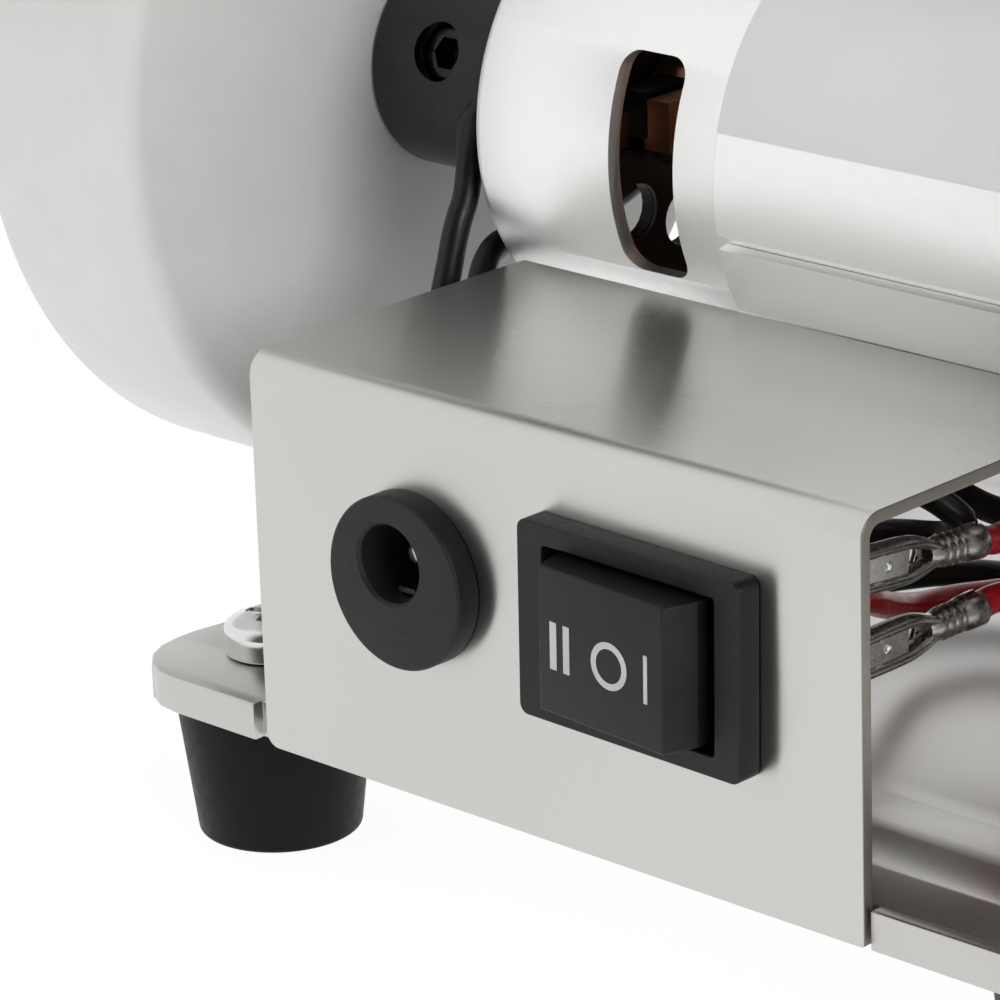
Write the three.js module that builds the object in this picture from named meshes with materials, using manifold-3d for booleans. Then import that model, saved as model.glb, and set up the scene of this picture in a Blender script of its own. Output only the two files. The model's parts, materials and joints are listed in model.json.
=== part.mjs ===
// Mini bench grinder: a double-shaft low-voltage motor held by a bracket on a flat base plate, with a
// folded control housing in front of it and a wheel on each end of the spindle.
// Millimetres. +X runs along the spindle, +Y to the back, +Z up. The origin is on the bench, under the
// middle of the whole machine. Each mesh is one piece that comes off on the bench.
import * as THREE from 'three';
import { mergeVertices } from 'three/addons/utils/BufferGeometryUtils.js';
import Module from 'manifold-3d';

const wasm = await Module();
wasm.setup();

// ---------------------------------------------------------------- driving dimensions
const contactGap = 0.05;                // between faces that rest on each other
const fitGap = 0.3;                     // between a screw, pin or lead end and its neighbour

const footHeight = 11.75;
const footTopRadius = 7.95;
const footBottomRadius = 6.5;
const footX = 41;                       // feet stand at +footX and -footX
const footFrontY = -34.1;
const footRearY = 39.5;
const footBoreRadius = 2.35;
const footBoreFloor = 3;

const footHeadRadius = 3.85;            // of the screw that holds a foot
const footHoleRadius = 2.3;             // through the plate for that screw
const plateThickness = 3;
const plateBottom = footHeight + contactGap;
const plateTop = plateBottom + plateThickness;
const plateFrontY = -43.3;
const plateBackY = 48.7;
const plateBodyHalfX = 35;              // the plate without its four ears
const earEndX = 49;
const earWidth = 17.2;
const earOuterCorner = 6.2;
const earInnerCorner = 9;
const earRootCorner = 2.5;

const sheet = 1;                        // housing sheet thickness
const housingLeft = -32;
const housingWidth = 59.4;
const housingRight = housingLeft + housingWidth;
const housingFace = -43.6;              // outer face of the front panel
const housingBottom = 12;
const housingHeight = 31.65;
const housingTop = housingBottom + housingHeight;
const housingDepth = 30;
const housingBend = 2;                  // outside radius of the fold
const panelBack = housingFace + sheet;

const jackX = -15.4;
const jackZ = 29.55;
const jackFlangeRadius = 6.7;
const jackFlangeProud = 2.1;
const jackBarrelRadius = 5.4;
const jackBarrelLength = 11;            // behind the panel face
const jackBoreX = -15.9;                // the socket sits above the middle of its flange
const jackBoreZ = 30.95;
const jackBoreRadius = 3;
const jackBoreDepth = 9;                // behind the panel face
const jackPinRadius = 1.05;
const jackPinTip = 0.7;

const switchX = 7.76;
const switchZ = 29.99;
const switchTurn = THREE.MathUtils.degToRad(1);
const bezelWidth = 21;
const bezelHeight = 15;
const bezelProud = 2.2;
const switchBodyWidth = 18.8;
const switchBodyHeight = 12.6;
const switchBodyDepth = 12.5;
const rockerOpeningWidth = 16.2;
const rockerOpeningHeight = 11.8;
const rockerCavityWidth = 17.4;
const rockerCavityDepth = 8.6;
const rockerHeight = 11;
const rockerFaceHalf = 6.2;
const rockerOffset = 0.2;               // its pivot is this far right of the bezel's middle
const rockerShoulderHalf = 7;
const rockerPivotDepth = 3.5;           // pivot behind the panel face
const rockerFaceReach = 4.7;            // face in front of the panel face, mid way
const rockerRestTilt = THREE.MathUtils.degToRad(3.3);
const tabThickness = 0.8;
const tabHeight = 2.8;
const tabLength = 6.2;
const tabColumn = 7.9;
const tabRow = 3.35;
const upperDroop = THREE.MathUtils.degToRad(5.8);     // the wires pull the connectors down
const lowerDroop = THREE.MathUtils.degToRad(0.3);

const spindleY = 2.64;
const spindleZ = 53.5;
const canRadius = 17.9;
const canWall = 1.3;
const canLeft = -35.55;
const canLength = 61.5;
const canRight = canLeft + canLength;
const bossRadius = 6.5;
const bossLength = 4.25;
const ventX = -17.85;
const ventWidth = 6.5;
const ventHeight = 17.4;
const ventRise = 0.2;                   // its middle is this far above the spindle
const ringLeft = -9.6;
const ringLength = 31;
const ringThickness = 1;
const ringInner = canRadius + contactGap;
const ringOuter = ringInner + ringThickness;
const ringGapStart = 190;               // degrees round the spindle from +Y towards +Z
const ringGapEnd = 193.4;
const labelThickness = 0.12;
const labelLow = 165.8;
const labelHigh = 62;

const brushSpacing = 11;                // from the spindle to each motor terminal
const airHoleAngles = [55, 90, 125, 235, 270, 305];
const airHoleCircle = 9.7;              // through the end cap, round the spindle
const airHoleRadius = 2.3;

const shaftRadius = 2.5;
const shaftBore = 2.6;
const arborRadius = 9.2;
const arborInner = 37.5;                // distance from the middle of the machine
const arborShoulder = 55.45;
const arborBoreEnd = 52;
const spigotRadius = 4;
const spigotEnd = 84;
const setScrewX = 48.2;
const setScrewAngle = THREE.MathUtils.degToRad(161.2);
const wheelRadius = 36.1;
const wheelThickness = 18.5;
const wheelEdge = 2;
const wheelNear = arborShoulder + contactGap;
const wheelFar = wheelNear + wheelThickness;
const spigotHole = spigotRadius + fitGap;

const wireRadius = 1.1;

// ---------------------------------------------------------------- materials
function finish(color, roughness, metalness) {
  return new THREE.MeshStandardMaterial({ color, roughness, metalness });
}

const brushedSteel = finish(0xc9c8c3, 0.38, 0.9);
const nickelCan = finish(0xdddddb, 0.25, 0.95);
const labelFoil = finish(0xd9d9da, 0.55, 0.2);
const screwSteel = finish(0xd6d6d4, 0.2, 1);
const blackSteel = finish(0x2b2a28, 0.35, 0.8);
const tinPlate = finish(0xb9b6b0, 0.35, 0.9);
const copper = finish(0xb5683f, 0.35, 0.9);
const magnetBlack = finish(0x3a3a3d, 0.7, 0.2);
const ironCore = finish(0x8d8d8f, 0.5, 0.8);
const bronze = finish(0x9a7442, 0.45, 0.9);
const blackPlastic = finish(0x2e2e30, 0.55, 0);
const footRubber = finish(0x161617, 0.6, 0);
const wheelWhite = finish(0xe9e8e6, 0.9, 0);
const redWire = finish(0xb3141c, 0.4, 0);
const blackWire = finish(0x1b1b1d, 0.45, 0);

// ---------------------------------------------------------------- solids
// Six times the volume inside the triangles; it is negative when the faces point in.
function signedVolume(positions, triangles) {
  const a = new THREE.Vector3();
  const b = new THREE.Vector3();
  const c = new THREE.Vector3();
  let total = 0;
  for (let i = 0; i < triangles.length; i += 3) {
    a.fromArray(positions, 3 * triangles[i]);
    b.fromArray(positions, 3 * triangles[i + 1]);
    c.fromArray(positions, 3 * triangles[i + 2]);
    total += a.dot(b.cross(c));
  }
  return total;
}

function solidOf(geometry) {
  const bare = geometry.clone();
  bare.deleteAttribute('normal');
  bare.deleteAttribute('uv');
  const merged = mergeVertices(bare, 1e-4);
  const positions = Float32Array.from(merged.attributes.position.array);
  const indices = merged.index.array;
  const triangles = [];
  for (let i = 0; i < indices.length; i += 3) {
    const [p, q, r] = [indices[i], indices[i + 1], indices[i + 2]];
    if (p !== q && q !== r && r !== p) triangles.push(p, q, r);
  }
  if (signedVolume(positions, triangles) < 0) triangles.reverse();
  const triVerts = Uint32Array.from(triangles);
  const mesh = new wasm.Mesh({ numProp: 3, vertProperties: positions, triVerts });
  return new wasm.Manifold(mesh);
}

function geometryOf(solid) {
  const mesh = solid.getMesh();
  const geometry = new THREE.BufferGeometry();
  geometry.setAttribute('position', new THREE.BufferAttribute(Float32Array.from(mesh.vertProperties), 3));
  geometry.setIndex(new THREE.BufferAttribute(Uint32Array.from(mesh.triVerts), 1));
  geometry.computeVertexNormals();
  return geometry;
}

function joined(...solids) {
  return solids.reduce((whole, piece) => whole.add(piece));
}

function cutBy(solid, ...cutters) {
  return cutters.reduce((left, cutter) => left.subtract(cutter), solid);
}

// ---------------------------------------------------------------- shapes
const axisX = new THREE.Vector3(1, 0, 0);
const axisY = new THREE.Vector3(0, 1, 0);
const axisZ = new THREE.Vector3(0, 0, 1);

function extruded(shape, length, curveSegments) {
  return new THREE.ExtrudeGeometry(shape, { depth: length, bevelEnabled: false, curveSegments });
}

// A shape drawn in (y, z), run along X from x0 to x1.
function alongX(shape, x0, x1, curveSegments = 12) {
  const turn = new THREE.Matrix4().makeBasis(axisY, axisZ, axisX);
  return solidOf(extruded(shape, x1 - x0, curveSegments).applyMatrix4(turn).translate(x0, 0, 0));
}

// A shape drawn in (x, z), run along Y from y0 to y1.
function alongY(shape, y0, y1, curveSegments = 12) {
  const turn = new THREE.Matrix4().makeBasis(axisX, axisZ, axisY.clone().negate());
  return solidOf(extruded(shape, y1 - y0, curveSegments).applyMatrix4(turn).translate(0, y1, 0));
}

// A shape drawn in (x, y), run along Z from z0 to z1.
function alongZ(shape, z0, z1, curveSegments = 12) {
  return solidOf(extruded(shape, z1 - z0, curveSegments).translate(0, 0, z0));
}

function lathe(profile, segments) {
  const points = profile.map(([along, radius]) => new THREE.Vector2(radius, along));
  return new THREE.LatheGeometry(points, segments);
}

// Profiles are [distance along the axis, radius] and close on themselves or on the axis.
function turnedX(profile, segments, y = spindleY, z = spindleZ) {
  return solidOf(lathe(profile, segments).rotateZ(-Math.PI / 2).translate(0, y, z));
}

function turnedY(profile, segments, x, z) {
  return solidOf(lathe(profile, segments).translate(x, 0, z));
}

function turnedZ(profile, segments, x, y) {
  return solidOf(lathe(profile, segments).rotateX(Math.PI / 2).translate(x, y, 0));
}

function rod(from, to, radius) {
  return [[from, 0], [from, radius], [to, radius], [to, 0]];
}

function sleeve(from, to, inner, outer) {
  return [[from, inner], [from, outer], [to, outer], [to, inner], [from, inner]];
}

function roundedRectangle(centreU, centreV, width, height, radius) {
  const [left, right] = [centreU - width / 2, centreU + width / 2];
  const [low, high] = [centreV - height / 2, centreV + height / 2];
  const shape = new THREE.Shape();
  shape.moveTo(left + radius, low);
  shape.lineTo(right - radius, low);
  shape.absarc(right - radius, low + radius, radius, -Math.PI / 2, 0);
  shape.absarc(right - radius, high - radius, radius, 0, Math.PI / 2);
  shape.absarc(left + radius, high - radius, radius, Math.PI / 2, Math.PI);
  shape.absarc(left + radius, low + radius, radius, Math.PI, 1.5 * Math.PI);
  return shape;
}

function rectangle(left, low, right, high) {
  return polygon([[left, low], [right, low], [right, high], [left, high]]);
}

function polygon(points) {
  return new THREE.Shape(points.map(([u, v]) => new THREE.Vector2(u, v)));
}

// A polygon from [u, v, corner radius], each corner turned into an arc.
function roundedPolygon(corners, steps = 5) {
  const points = [];
  corners.forEach(([u, v, radius], index) => {
    const corner = new THREE.Vector2(u, v);
    const [before, after] = [corners.at(index - 1), corners[(index + 1) % corners.length]]
      .map(([x, y]) => new THREE.Vector2(x, y).sub(corner).normalize());
    const half = Math.acos(before.dot(after)) / 2;
    const centre = before.clone().add(after).normalize().multiplyScalar(radius / Math.sin(half)).add(corner);
    const spoke = before.clone().multiplyScalar(radius / Math.tan(half)).add(corner).sub(centre);
    const sweep = Math.sign(before.cross(after)) * (2 * half - Math.PI);
    for (let step = 0; step <= steps; step++) {
      const turned = spoke.clone().rotateAround(new THREE.Vector2(), sweep * step / steps);
      points.push([centre.x + turned.x, centre.y + turned.y]);
    }
  });
  return polygon(points);
}

function hexagon(centreU, centreV, acrossFlats) {
  const corners = [];
  for (let i = 0; i < 6; i++) {
    const angle = (i + 0.5) * Math.PI / 3;
    const reach = acrossFlats / 2 / Math.cos(Math.PI / 6);
    corners.push([centreU + reach * Math.cos(angle), centreV + reach * Math.sin(angle)]);
  }
  return polygon(corners);
}

function disc(centreU, centreV, radius) {
  const shape = new THREE.Shape();
  shape.absarc(centreU, centreV, radius, 0, 2 * Math.PI);
  return shape;
}

// Part of a ring round the spindle, between two angles in degrees.
function ringSector(inner, outer, startDegrees, endDegrees) {
  const [start, end] = [startDegrees, endDegrees].map(THREE.MathUtils.degToRad);
  const shape = new THREE.Shape();
  shape.absarc(spindleY, spindleZ, outer, start, end, false);
  shape.absarc(spindleY, spindleZ, inner, end, start, true);
  return shape;
}

const machine = new THREE.Group();

function addPiece(name, solid, material, parent = machine) {
  const mesh = new THREE.Mesh(geometryOf(solid), material);
  mesh.name = name;
  parent.add(mesh);
  return mesh;
}

// ---------------------------------------------------------------- base
function plateOutline() {
  const middleY = (plateFrontY + plateBackY) / 2;
  const corners = [];
  for (const [signX, signY] of [[1, -1], [1, 1], [-1, 1], [-1, -1]]) {
    const edgeY = middleY + signY * (plateBackY - middleY);
    const innerY = edgeY - signY * earWidth;
    const ear = [
      [signX * earEndX, edgeY, earOuterCorner],
      [signX * earEndX, innerY, earInnerCorner],
      [signX * plateBodyHalfX, innerY, earRootCorner],
    ];
    corners.push(...(signX * signY < 0 ? ear : ear.reverse()));
  }
  return roundedPolygon(corners);
}

function basePlate() {
  const [below, above] = [plateBottom - 1, plateTop + 1];
  const recess = rectangle(housingLeft - 1.7, plateFrontY - 1, housingRight + fitGap, panelBack + fitGap);
  const holes = footPlaces().map(([, x, y]) => alongZ(disc(x, y, footHoleRadius), below, above, 10));
  return cutBy(alongZ(plateOutline(), plateBottom, plateTop), alongZ(recess, below, above), ...holes);
}

function footPlaces() {
  return [
    ['front_left', -footX, footFrontY],
    ['front_right', footX, footFrontY],
    ['rear_left', -footX, footRearY],
    ['rear_right', footX, footRearY],
  ];
}

function rubberFoot(x, y) {
  const edge = 0.5;
  const profile = [
    [0, 0], [0, footBottomRadius - edge], [edge, footBottomRadius], [footHeight, footTopRadius],
    [footHeight, footBoreRadius], [footBoreFloor, footBoreRadius], [footBoreFloor, 0],
  ];
  return turnedZ(profile, 32, x, y);
}

function footScrew(x, y) {
  const headBase = plateTop + contactGap;
  const profile = [
    [footBoreFloor + 1, 0], [footBoreFloor + 1, 2], [headBase, 2], [headBase, footHeadRadius],
    [headBase + 2.1, footHeadRadius], [headBase + 2.7, 3.4], [headBase + 3.1, 2.2], [headBase + 3.2, 0],
  ];
  const bladeA = alongZ(rectangle(x - 2, y - 0.4, x + 2, y + 0.4), headBase + 1.8, headBase + 4);
  const bladeB = alongZ(rectangle(x - 0.4, y - 2, x + 0.4, y + 2), headBase + 1.8, headBase + 4);
  return cutBy(turnedZ(profile, 24, x, y), bladeA, bladeB);
}

// ---------------------------------------------------------------- control housing
function controlHousing() {
  const inside = housingBend - sheet;
  const [bendY, bendZ] = [housingFace + housingBend, housingTop - housingBend];
  const profile = new THREE.Shape();
  profile.moveTo(housingFace, housingBottom);
  profile.lineTo(panelBack, housingBottom);
  profile.lineTo(panelBack, housingTop - housingBend);
  profile.absarc(bendY, bendZ, inside, Math.PI, Math.PI / 2, true);
  profile.lineTo(housingFace + housingDepth, housingTop - sheet);
  profile.lineTo(housingFace + housingDepth, housingTop);
  profile.lineTo(housingFace + housingBend, housingTop);
  profile.absarc(bendY, bendZ, housingBend, Math.PI / 2, Math.PI, false);
  const front = roundedPolygon([
    [housingLeft, housingBottom, 1.3], [housingRight, housingBottom, 0.3],
    [housingRight, housingTop + 2, 0.3], [housingLeft, housingTop + 2, 0.3],
  ]);
  const outline = alongY(front, housingFace - 1, housingFace + housingDepth + 1);
  const jackHole = alongY(disc(jackX, jackZ, jackBarrelRadius + fitGap), housingFace - 1, panelBack + 1, 16);
  const cutOut = solidOf(extruded(rectangle(-9.7, -6.6, 9.7, 6.6), 3, 1)
    .rotateX(Math.PI / 2).rotateY(switchTurn).translate(switchX, panelBack + 1, switchZ));
  return cutBy(alongX(profile, housingLeft, housingRight, 6).intersect(outline), jackHole, cutOut);
}

// ---------------------------------------------------------------- power socket
function dcJackBody() {
  const [front, back] = [housingFace - jackFlangeProud, housingFace + jackBarrelLength];
  const profile = [
    [front, 0], [front, jackFlangeRadius - 0.4], [front + 0.4, jackFlangeRadius],
    [housingFace - contactGap, jackFlangeRadius], [housingFace - contactGap, jackBarrelRadius],
    [back, jackBarrelRadius], [back, 0],
  ];
  const bore = turnedY(rod(front - 1, housingFace + jackBoreDepth, jackBoreRadius), 24, jackBoreX, jackBoreZ);
  const rearWindow = alongY(
    rectangle(jackBoreX - 1.4, jackBoreZ - 3, jackBoreX + 1.4, jackBoreZ + 1.5), housingFace + 5, back + 1);
  return cutBy(turnedY(profile, 40, jackX, jackZ), bore, rearWindow);
}

function dcJackPin() {
  const tip = housingFace + jackPinTip;
  const tail = housingFace + jackBarrelLength + 3.5;
  const profile = [[tip, 0], [tip, 0.5], [tip + 0.5, jackPinRadius], [tail, jackPinRadius], [tail, 0]];
  return turnedY(profile, 16, jackBoreX, jackBoreZ);
}

function dcJackContact() {
  const [low, high] = [jackBoreZ - 2.75, jackBoreZ - 2.35];
  const tail = housingFace + jackBarrelLength + 3.5;
  return alongY(rectangle(jackBoreX - 0.8, low, jackBoreX + 0.8, high), housingFace - 0.2, tail);
}

function dcJackNut() {
  const nut = hexagon(jackX, jackZ, 14);
  nut.holes.push(disc(jackX, jackZ, jackBarrelRadius + fitGap));
  return alongY(nut, panelBack + contactGap, panelBack + contactGap + 2, 16);
}

// ---------------------------------------------------------------- rocker switch
// The switch is drawn about its own middle, x to the right and z up, with y = 0 on the panel face.
function switchBody() {
  const bezel = alongY(roundedRectangle(0, 0, bezelWidth, bezelHeight, 0.7), -bezelProud, -contactGap, 3);
  const box = alongY(centredRectangle(switchBodyWidth, switchBodyHeight), -2 * contactGap, switchBodyDepth);
  const mouth = alongY(centredRectangle(rockerOpeningWidth, rockerOpeningHeight), -bezelProud - 1, 0.5);
  const cavity = alongY(centredRectangle(rockerCavityWidth, rockerOpeningHeight), -0.6, rockerCavityDepth);
  return cutBy(joined(bezel, box), mouth, cavity);
}

function centredRectangle(width, height) {
  return rectangle(-width / 2, -height / 2, width / 2, height / 2);
}

// The rocker's section in (x, y) about its pivot; the face is away from the pivot in -Y.
function switchRocker() {
  const face = -rockerPivotDepth - rockerFaceReach;
  const section = polygon([
    [-rockerFaceHalf, face], [rockerFaceHalf, face],
    [rockerShoulderHalf, -rockerPivotDepth - bezelProud + 0.2], [rockerShoulderHalf, -rockerPivotDepth - 1],
    [3.2, 0.6], [1.2, 2.2], [-1.2, 2.2], [-3.2, 0.6],
    [-rockerShoulderHalf, -rockerPivotDepth - 1], [-rockerShoulderHalf, -rockerPivotDepth - bezelProud + 0.2],
  ]);
  return alongZ(section, -rockerHeight / 2, rockerHeight / 2);
}

// A tab in its own frame: root at the origin, pointing along +Y.
function switchTab() {
  const start = contactGap + 0.15;
  const tab = rectangle(-tabThickness / 2, -tabHeight / 2, tabThickness / 2, tabHeight / 2);
  return alongY(tab, start, start + tabLength);
}

// A crimped female connector pushed over a tab, in the tab's frame: box, neck and wire barrel.
function spadeConnector() {
  const start = 0.9;
  const [boxEnd, neckEnd, barrelEnd] = [start + 7.8, start + 8.6, start + 13.9];
  const box = alongY(rectangle(-1, -1.85, 1, 1.85), start, boxEnd);
  const neck = alongY(rectangle(-0.7, -1, 0.7, 1), boxEnd - 0.2, neckEnd + 0.2);
  const barrel = turnedY(rod(neckEnd, barrelEnd, 1.4), 12, 0, 0);
  const socket = alongY(rectangle(-0.6, -1.5, 0.6, 1.5), start - 1, boxEnd - 0.4);
  const window = alongY(rectangle(-2, -0.8, 2, 0.8), start + 5.5, start + 7.3);
  return cutBy(joined(box, neck, barrel), socket, window);
}

// ---------------------------------------------------------------- motor, the parts that stand still
function motorCan() {
  const [inner, left, right] = [canRadius - canWall, canLeft, canRight];
  const [boss, floor] = [right + bossLength, right - 1.5];
  const profile = [
    [left, inner], [left, canRadius - 0.6], [left + 0.2, canRadius - 0.2], [left + 0.6, canRadius],
    [right - 1.5, canRadius], [right - 0.4, canRadius - 0.5], [right, canRadius - 1.5],
    [right, bossRadius], [boss, bossRadius], [boss, 3.3], [boss - 0.8, 3.3], [boss - 0.8, 5.05],
    [floor, 5.05], [floor, inner], [left, inner],
  ];
  const vent = roundedRectangle(ventX, spindleZ + ventRise, ventWidth, ventHeight, 1.6);
  const vents = alongY(vent, spindleY - canRadius - 2, spindleY + canRadius + 2, 4);
  const screwHoles = [-12.5, 12.5].map((side) => turnedX(rod(floor - 1, right + 1, 1.6), 12, spindleY + side));
  return cutBy(turnedX(profile, 56), vents, ...screwHoles);
}

function fluxRing() {
  const section = ringSector(ringInner, ringOuter, ringGapEnd, ringGapStart + 360);
  return alongX(section, ringLeft, ringLeft + ringLength, 48);
}

function motorLabel() {
  const inner = ringOuter + contactGap;
  const sector = ringSector(inner, inner + labelThickness, labelHigh, labelLow);
  return alongX(sector, ringLeft + 0.2, ringLeft + ringLength - 0.2, 20);
}

function endCap() {
  const outer = canRadius - canWall - contactGap;
  const [face, floor, skirt, hub] = [-29.8, -31, -33.5, -36.6];
  const profile = [
    [hub, 4.1], [hub, 6], [floor, 6], [floor, outer - 1.3], [skirt, outer - 1.3], [skirt, outer],
    [face, outer], [face, 4.1], [hub, 4.1],
  ];
  const slots = [-1, 1].map((side) => {
    const y = spindleY + side * brushSpacing;
    return alongX(rectangle(y - 0.6, spindleZ - 1.7, y + 0.6, spindleZ + 1.7), hub, face + 1);
  });
  const airHoles = airHoleAngles.map((degrees) => {
    const angle = THREE.MathUtils.degToRad(degrees);
    const [y, z] = [spindleY + airHoleCircle * Math.cos(angle), spindleZ + airHoleCircle * Math.sin(angle)];
    return turnedX(rod(floor - 1, face + 1, airHoleRadius), 20, y, z);
  });
  return cutBy(turnedX(profile, 40), ...slots, ...airHoles);
}

function motorTerminal(side) {
  const y = spindleY + side * brushSpacing;
  return alongX(rectangle(y - 0.3, spindleZ - 1.4, y + 0.3, spindleZ + 1.4), -39.6, -28);
}

// A brush in its copper clip, one on each side of the commutator, with a strip back to its terminal.
function brush(side) {
  const clip = alongX(rectangle(...inOrder(side, 4.8, 8.9, -1.4, 2.7)), -25.1, -22.9);
  const strip = alongX(rectangle(...inOrder(side, 8.5, 8.9, -1.4, -0.6)), -27.4, -25);
  const foot = alongX(rectangle(...inOrder(side, 8.5, 11, -1.4, 1.4)), -27.6, -27.1);
  return joined(clip, strip, foot);
}

// Turns distances from the spindle on one side into [low y, low z, high y, high z].
function inOrder(side, near, far, low, high) {
  const [a, b] = [spindleY + side * near, spindleY + side * far];
  return [Math.min(a, b), spindleZ + low, Math.max(a, b), spindleZ + high];
}

function magnet(middleDegrees) {
  const sector = ringSector(12.4, canRadius - canWall - contactGap, middleDegrees - 58, middleDegrees + 58);
  return alongX(sector, -9, 20, 20);
}

// ---------------------------------------------------------------- motor, the parts that spin
function armatureCore() {
  const shape = new THREE.Shape();
  const poles = 5;
  for (let i = 0; i < poles; i++) {
    const middle = i * 2 * Math.PI / poles;
    const [start, end] = [middle - 0.52, middle + 0.52];
    shape.absarc(spindleY, spindleZ, 11.8, start, end, false);
    shape.absarc(spindleY, spindleZ, 10.2, end, end, false);
    shape.absarc(spindleY, spindleZ, 5, end + 0.1, end + 0.1, false);
  }
  const bore = turnedX(rod(-10, 20, shaftBore), 24);
  return cutBy(alongX(shape, -8, 19, 5), bore);
}

function winding(from, to) {
  const middle = (from + to) / 2;
  return turnedX([[from, 3.2], [from, 8], [middle, 10], [to, 8], [to, 3.2], [from, 3.2]], 24);
}

// ---------------------------------------------------------------- spindle ends
function mirrored(side, profile) {
  return profile.map(([along, radius]) => [side * along, radius]);
}

function arbor(side) {
  const profile = [
    [arborInner, shaftBore], [arborInner, arborRadius - 0.5], [arborInner + 0.5, arborRadius],
    [arborShoulder - 0.4, arborRadius], [arborShoulder, arborRadius - 0.4], [arborShoulder, spigotRadius],
    [spigotEnd - 0.8, spigotRadius], [spigotEnd, spigotRadius - 0.8], [spigotEnd, 0],
    [arborBoreEnd, 0], [arborBoreEnd, shaftBore], [arborInner, shaftBore],
  ];
  const hole = setScrewRod(side, [[1, 0], [1, 2.5], [12, 2.5], [12, 0]], 16);
  return cutBy(turnedX(mirrored(side, profile), 36), hole);
}

// A piece turned about the set screw's axis, from [distance from the spindle, radius].
function setScrewRod(side, profile, segments) {
  const geometry = lathe(profile, segments).rotateX(setScrewAngle);
  return solidOf(geometry.translate(side * setScrewX, spindleY, spindleZ));
}

function setScrew(side) {
  const screw = setScrewRod(side, [[3, 0], [3, 2.3], [7.6, 2.3], [7.9, 2], [7.9, 0]], 16);
  const socket = solidOf(extruded(hexagon(0, 0, 2.5), 3, 1).translate(0, 0, 5.6).rotateX(-Math.PI / 2)
    .rotateX(setScrewAngle).translate(side * setScrewX, spindleY, spindleZ));
  return cutBy(screw, socket);
}

function wheel(side) {
  const rounded = [];
  for (let i = 0; i <= 3; i++) {
    const angle = i * Math.PI / 6;
    rounded.push([wheelEdge * (1 - Math.cos(angle)), wheelRadius - wheelEdge * (1 - Math.sin(angle))]);
  }
  const near = rounded.map(([depth, radius]) => [wheelNear + depth, radius]);
  const far = rounded.map(([depth, radius]) => [wheelFar - depth, radius]).reverse();
  const profile = [[wheelNear, spigotHole], ...near, ...far, [wheelFar, spigotHole], [wheelNear, spigotHole]];
  return turnedX(mirrored(side, profile), 60);
}

function flangeWasher(side) {
  const near = wheelFar + contactGap;
  return turnedX(mirrored(side, sleeve(near, near + 1.9, spigotHole, 11)), 32);
}

function arborNut(side) {
  const near = wheelFar + 2 * contactGap + 1.9;
  const shape = hexagon(spindleY, spindleZ, 13);
  shape.holes.push(disc(spindleY, spindleZ, spigotHole));
  const [from, to] = [near, near + 6.4];
  return side > 0 ? alongX(shape, from, to, 12) : alongX(shape, -to, -from, 12);
}

// ---------------------------------------------------------------- motor bracket
function motorBracket() {
  const [left, right] = [canRight + contactGap, canRight + contactGap + 2.5];
  const halfWidth = 15.9;
  const plate = new THREE.Shape();
  plate.moveTo(spindleY - halfWidth, plateTop + contactGap);
  plate.lineTo(spindleY + halfWidth, plateTop + contactGap);
  plate.lineTo(spindleY + halfWidth, spindleZ);
  plate.absarc(spindleY, spindleZ, halfWidth, 0, Math.PI, false);
  const flange = rectangle(left, spindleY - halfWidth, plateBodyHalfX, spindleY + halfWidth);
  const holes = [-12.5, 12.5].map((side) => turnedX(rod(left - 1, right + 1, 1.8), 12, spindleY + side));
  return cutBy(
    joined(alongX(plate, left, right, 16), alongZ(flange, plateTop + contactGap, plateTop + contactGap + 2.5)),
    turnedX(rod(left - 1, right + 1, bossRadius + fitGap), 32), ...holes);
}

function mountScrew(side) {
  const head = canRight + 2 * contactGap + 2.5;
  const y = spindleY + side * 12.5;
  const profile = [
    [head - 6, 0], [head - 6, 1.4], [head, 1.4], [head, 2.75], [head + 1.6, 2.6], [head + 2.1, 1.9],
    [head + 2.1, 0],
  ];
  const blades = [
    alongX(rectangle(y - 1.5, spindleZ - 0.3, y + 1.5, spindleZ + 0.3), head + 1, head + 3),
    alongX(rectangle(y - 0.3, spindleZ - 1.5, y + 0.3, spindleZ + 1.5), head + 1, head + 3),
  ];
  return cutBy(turnedX(profile, 20, y), ...blades);
}

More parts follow.
